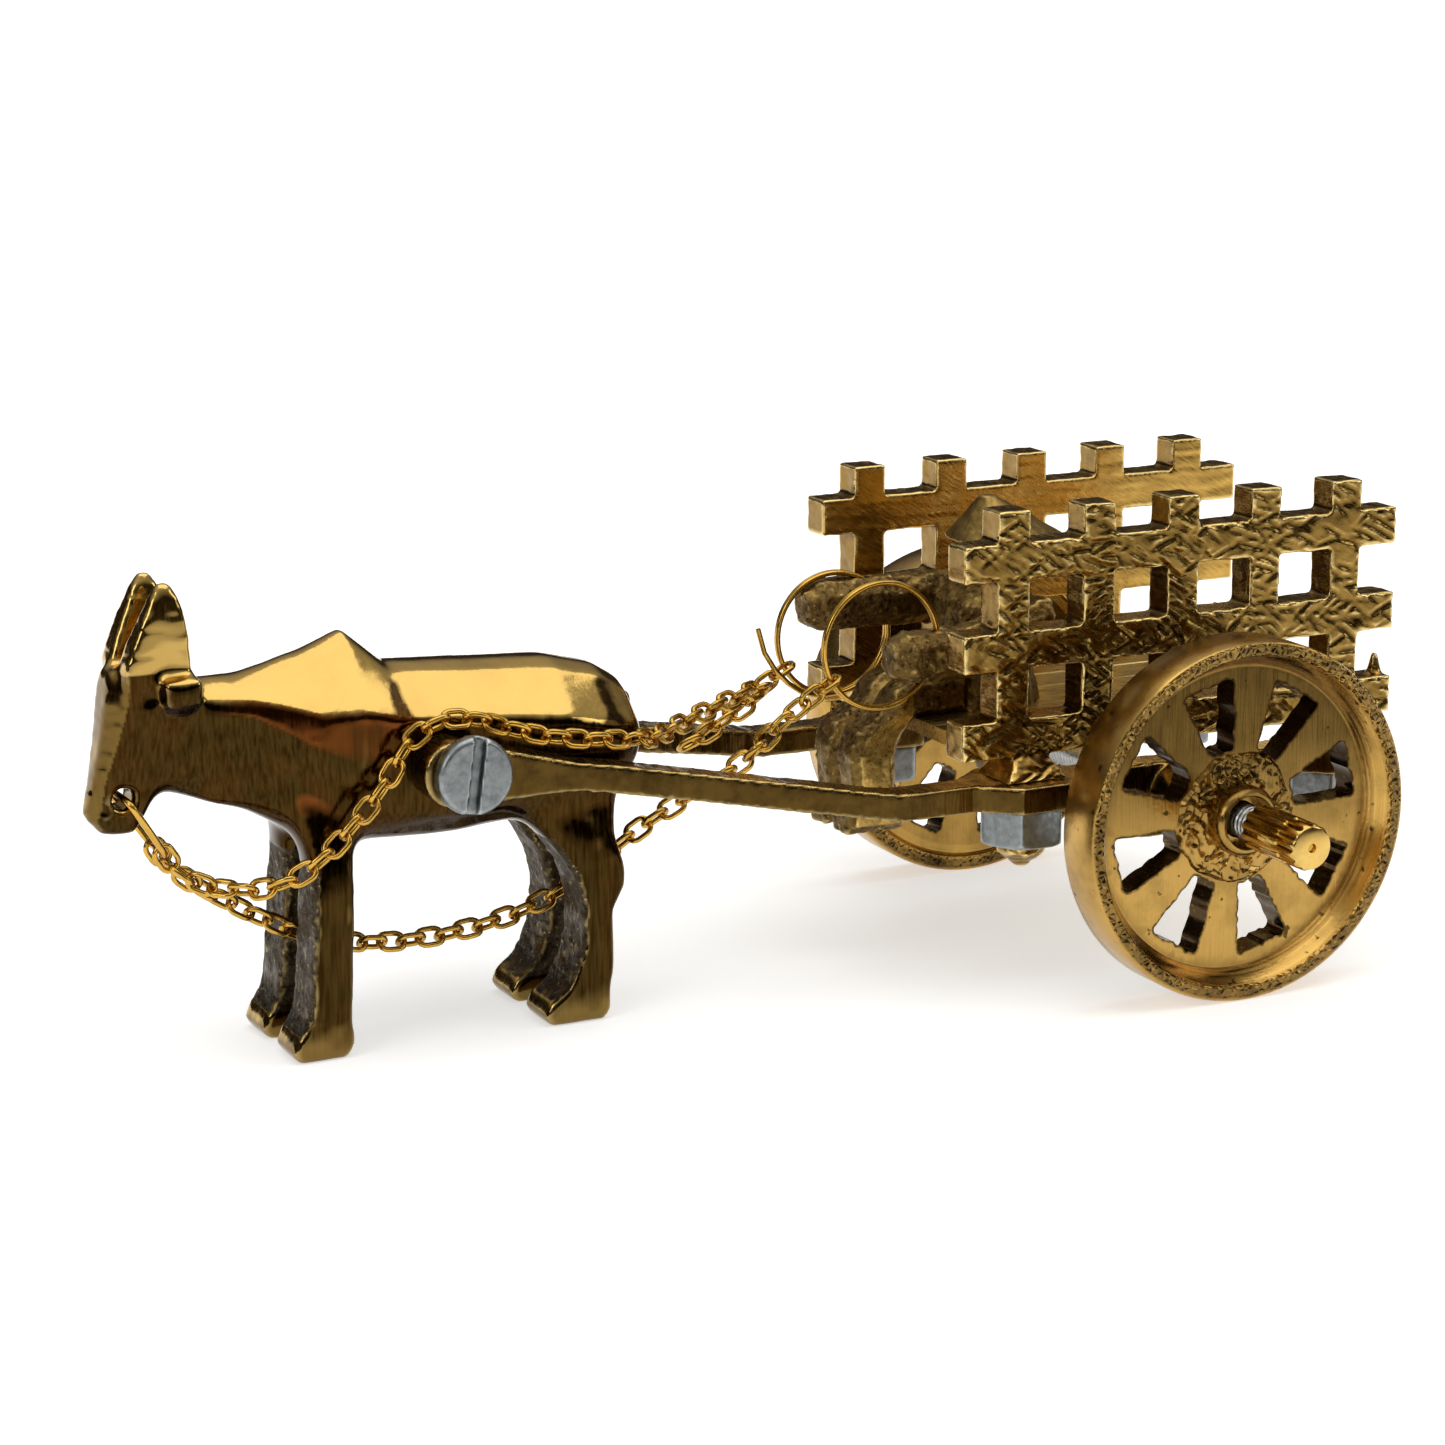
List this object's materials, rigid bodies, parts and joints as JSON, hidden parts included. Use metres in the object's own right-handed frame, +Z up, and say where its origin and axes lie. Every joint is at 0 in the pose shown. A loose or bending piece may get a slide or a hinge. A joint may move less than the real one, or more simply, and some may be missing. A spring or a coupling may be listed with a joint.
{
  "type": "brass bullock cart ornament",
  "caption": "Cast brass table ornament: a bull between shafts drawing a lattice-sided cart with a seated driver, chain reins, and wheels that turn on a threaded rod.",
  "frame": {"origin": "on the table, under the middle of the whole ornament's length and width", "axes": "+X towards the bull's head, +Y to the bull's left, +Z up"},
  "size_m": [0.2196, 0.1316, 0.0793],
  "materials": {
    "brass_polished": "polished cast brass",
    "brass_cast": "tool-marked cast brass with worn edges",
    "brass_filed": "filed cast brass",
    "brass_rough": "rough porous cast brass",
    "brass_floor": "rubbed sheet brass",
    "brass_wheel": "turned cast brass",
    "brass_turned": "turned and fluted brass",
    "brass_wire": "bright drawn wire",
    "steel_zinc": "zinc-plated",
    "steel_rod": "threaded rod"
  },
  "bodies": {
    "ornament": {"bull": "brass_polished", "driver": "brass_rough", "floor": "brass_floor", "axle": "steel_rod", "nose_loop": "brass_wire", "rein_low": "brass_wire", "rein_high": "brass_wire", "ring_left": "brass_wire", "ring_right": "brass_wire", "shaft_left": "brass_filed", "screw_left": "steel_zinc", "panel_left": "brass_cast", "nut_front_left": "steel_zinc", "nut_rear_left": "steel_zinc", "cap_left": "brass_turned", "shaft_right": "brass_filed", "screw_right": "steel_zinc", "panel_right": "brass_cast", "nut_front_right": "steel_zinc", "nut_rear_right": "steel_zinc", "cap_right": "brass_turned"},
    "wheel_left": {"wheel_left": "brass_wheel"},
    "wheel_right": {"wheel_right": "brass_wheel"}
  },
  "joints": [
    {"name": "wheel_left_spin", "type": "hinge", "parent": "ornament", "child": "wheel_left", "pos_m": [-0.06765, 0.0442, 0.0296], "axis": [0, 1, 0], "continuous": true},
    {"name": "wheel_right_spin", "type": "hinge", "parent": "ornament", "child": "wheel_right", "pos_m": [-0.06765, -0.0442, 0.0296], "axis": [0, 1, 0], "continuous": true}
  ]
}
